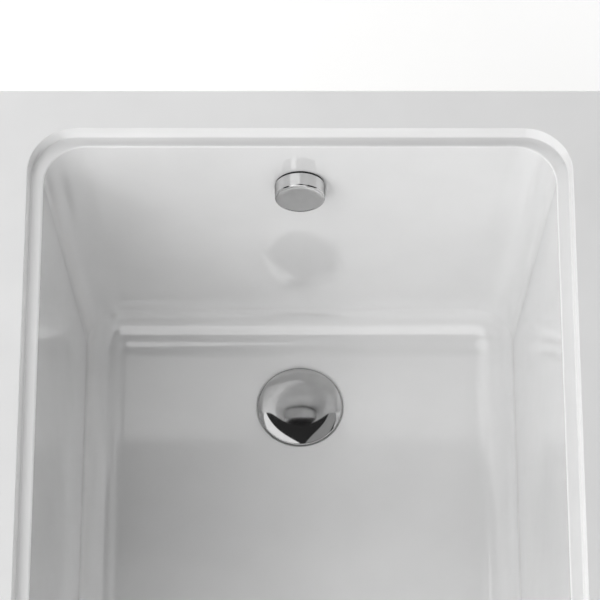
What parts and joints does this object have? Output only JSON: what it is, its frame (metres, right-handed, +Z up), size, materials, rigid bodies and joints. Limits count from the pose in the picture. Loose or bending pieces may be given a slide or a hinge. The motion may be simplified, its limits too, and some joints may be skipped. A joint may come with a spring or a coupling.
{
  "type": "acrylic bathtub",
  "caption": "Rectangular white acrylic bathtub with flat stepped rim, domed drain cover, turning overflow knob, waste trap, ribbed overflow hose and adjustable cradle feet.",
  "frame": {"origin": "on the floor under the middle of the tub", "axes": "+Y along the tub towards the drain end, +X to the right when facing the drain, +Z up"},
  "size_m": [0.75, 1.7, 0.59],
  "materials": {
    "acrylic": "glossy white sheet",
    "glass_fibre": "sprayed resin and chopped strand",
    "board": "particle board",
    "timber": "sawn softwood",
    "galvanised_steel": "spangled zinc",
    "zinc_plate": "bright zinc plate",
    "stainless_steel": "polished",
    "chrome": "mirror",
    "brass": "turned",
    "white_plastic": "moulded polypropylene",
    "grey_plastic": "moulded polypropylene",
    "grey_hose": "ribbed polyethylene",
    "cable_sheath": "extruded sheath",
    "black_plastic": "moulded polyamide",
    "black_rubber": "moulded"
  },
  "bodies": {
    "tub": {"tub_shell": "acrylic", "glass_fibre_backing": "glass_fibre", "base_board": "board", "batten_left": "timber", "batten_right": "timber", "batten_head": "timber", "batten_foot": "timber", "cradle_rail_head": "galvanised_steel", "cradle_rail_foot": "galvanised_steel", "rail_screws": "zinc_plate", "rail_nuts": "zinc_plate", "lock_nuts": "zinc_plate", "wall_bracket_head": "galvanised_steel", "wall_bracket_foot": "galvanised_steel", "bracket_screws": "zinc_plate", "waste_flange": "stainless_steel", "waste_seal_upper": "black_rubber", "waste_seal_lower": "black_rubber", "waste_body": "white_plastic", "cable_guide": "white_plastic", "trap_nut_inlet": "white_plastic", "trap_seal_inlet": "black_rubber", "trap_bend": "white_plastic", "trap_nut_outlet": "white_plastic", "trap_seal_outlet": "black_rubber", "outlet_pipe": "grey_plastic", "overflow_flange": "black_plastic", "overflow_gasket": "black_rubber", "overflow_housing": "white_plastic", "overflow_screws": "zinc_plate", "overflow_hose": "grey_hose", "hose_nut_upper": "white_plastic", "hose_nut_lower": "white_plastic", "hose_seal_upper": "black_rubber", "hose_seal_lower": "black_rubber", "bowden_cable": "cable_sheath", "cable_gland_upper": "grey_plastic", "cable_gland_lower": "grey_plastic", "cable_clips": "white_plastic"},
    "knob": {"overflow_knob": "chrome", "knob_spindle": "brass", "knob_grub_screw": "zinc_plate", "cable_crank": "grey_plastic"},
    "plunger": {"lift_plunger": "white_plastic", "plug_seal": "black_rubber"},
    "cover": {"drain_cover": "chrome"},
    "foot_head_left": {"foot_stud_head_left": "zinc_plate", "foot_pad_head_left": "black_plastic"},
    "foot_head_right": {"foot_stud_head_right": "zinc_plate", "foot_pad_head_right": "black_plastic"},
    "foot_foot_left": {"foot_stud_foot_left": "zinc_plate", "foot_pad_foot_left": "black_plastic"},
    "foot_foot_right": {"foot_stud_foot_right": "zinc_plate", "foot_pad_foot_right": "black_plastic"}
  },
  "joints": [
    {"name": "knob_turn", "type": "hinge", "parent": "tub", "child": "knob", "pos_m": [0, 0.77149, 0.493], "axis": [0, 0.9942, -0.108], "range_deg": [0, 60]},
    {"name": "plunger_lift", "type": "slide", "parent": "tub", "child": "plunger", "axis": [0, 0, 1], "range_m": [0, 0.014], "stiffness_N_per_m": 60, "springref_m": 0.042},
    {"name": "cover_lift_out", "type": "slide", "parent": "plunger", "child": "cover", "axis": [0, 0, 1], "range_m": [0, 0.04]},
    {"name": "head_left_foot_height", "type": "slide", "parent": "tub", "child": "foot_head_left", "axis": [0, 0, -1], "range_m": [-0.007, 0.025]},
    {"name": "head_right_foot_height", "type": "slide", "parent": "tub", "child": "foot_head_right", "axis": [0, 0, -1], "range_m": [-0.007, 0.025]},
    {"name": "foot_left_foot_height", "type": "slide", "parent": "tub", "child": "foot_foot_left", "axis": [0, 0, -1], "range_m": [-0.007, 0.025]},
    {"name": "foot_right_foot_height", "type": "slide", "parent": "tub", "child": "foot_foot_right", "axis": [0, 0, -1], "range_m": [-0.007, 0.025]}
  ],
  "couplings": [
    {"joint": "plunger_lift", "follows": "knob_turn", "m_per_rad": 0.013359}
  ]
}
